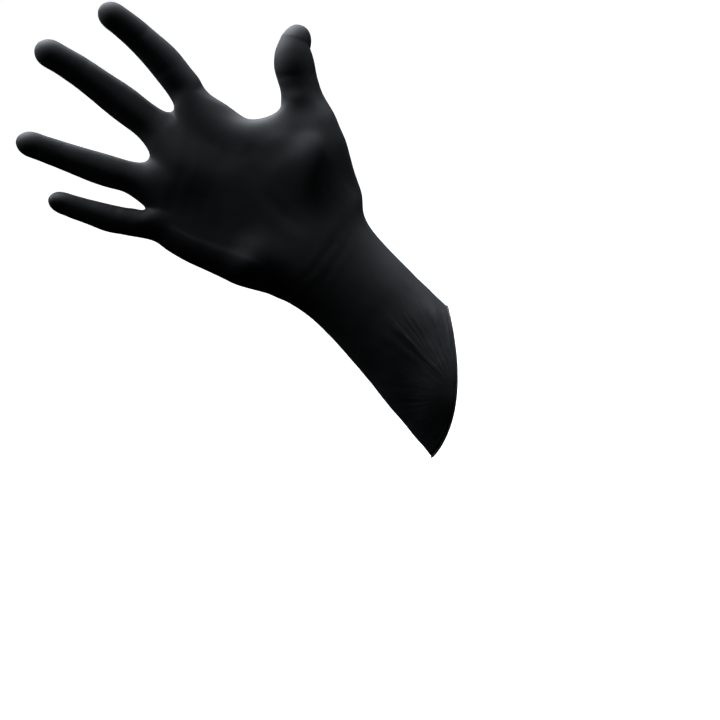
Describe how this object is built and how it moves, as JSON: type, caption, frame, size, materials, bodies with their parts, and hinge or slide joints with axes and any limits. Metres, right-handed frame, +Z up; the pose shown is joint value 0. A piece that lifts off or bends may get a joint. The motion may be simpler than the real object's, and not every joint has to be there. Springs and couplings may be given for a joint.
{
  "type": "nitrile exam glove",
  "caption": "Thin dipped nitrile glove in the shape of a spread right hand, open at a long sleeve with a rolled bead at the rim",
  "frame": {"origin": "middle of the wrist, where the arm that wears the glove holds it up", "axes": "+Z up the hand to the fingertips, +X to the thumb's side, -Y out of the palm"},
  "size_m": [0.155, 0.0558, 0.2933],
  "materials": {
    "nitrile": "satin, fine grip texture"
  },
  "bodies": {
    "root": {"glove": "nitrile"}
  },
  "joints": []
}
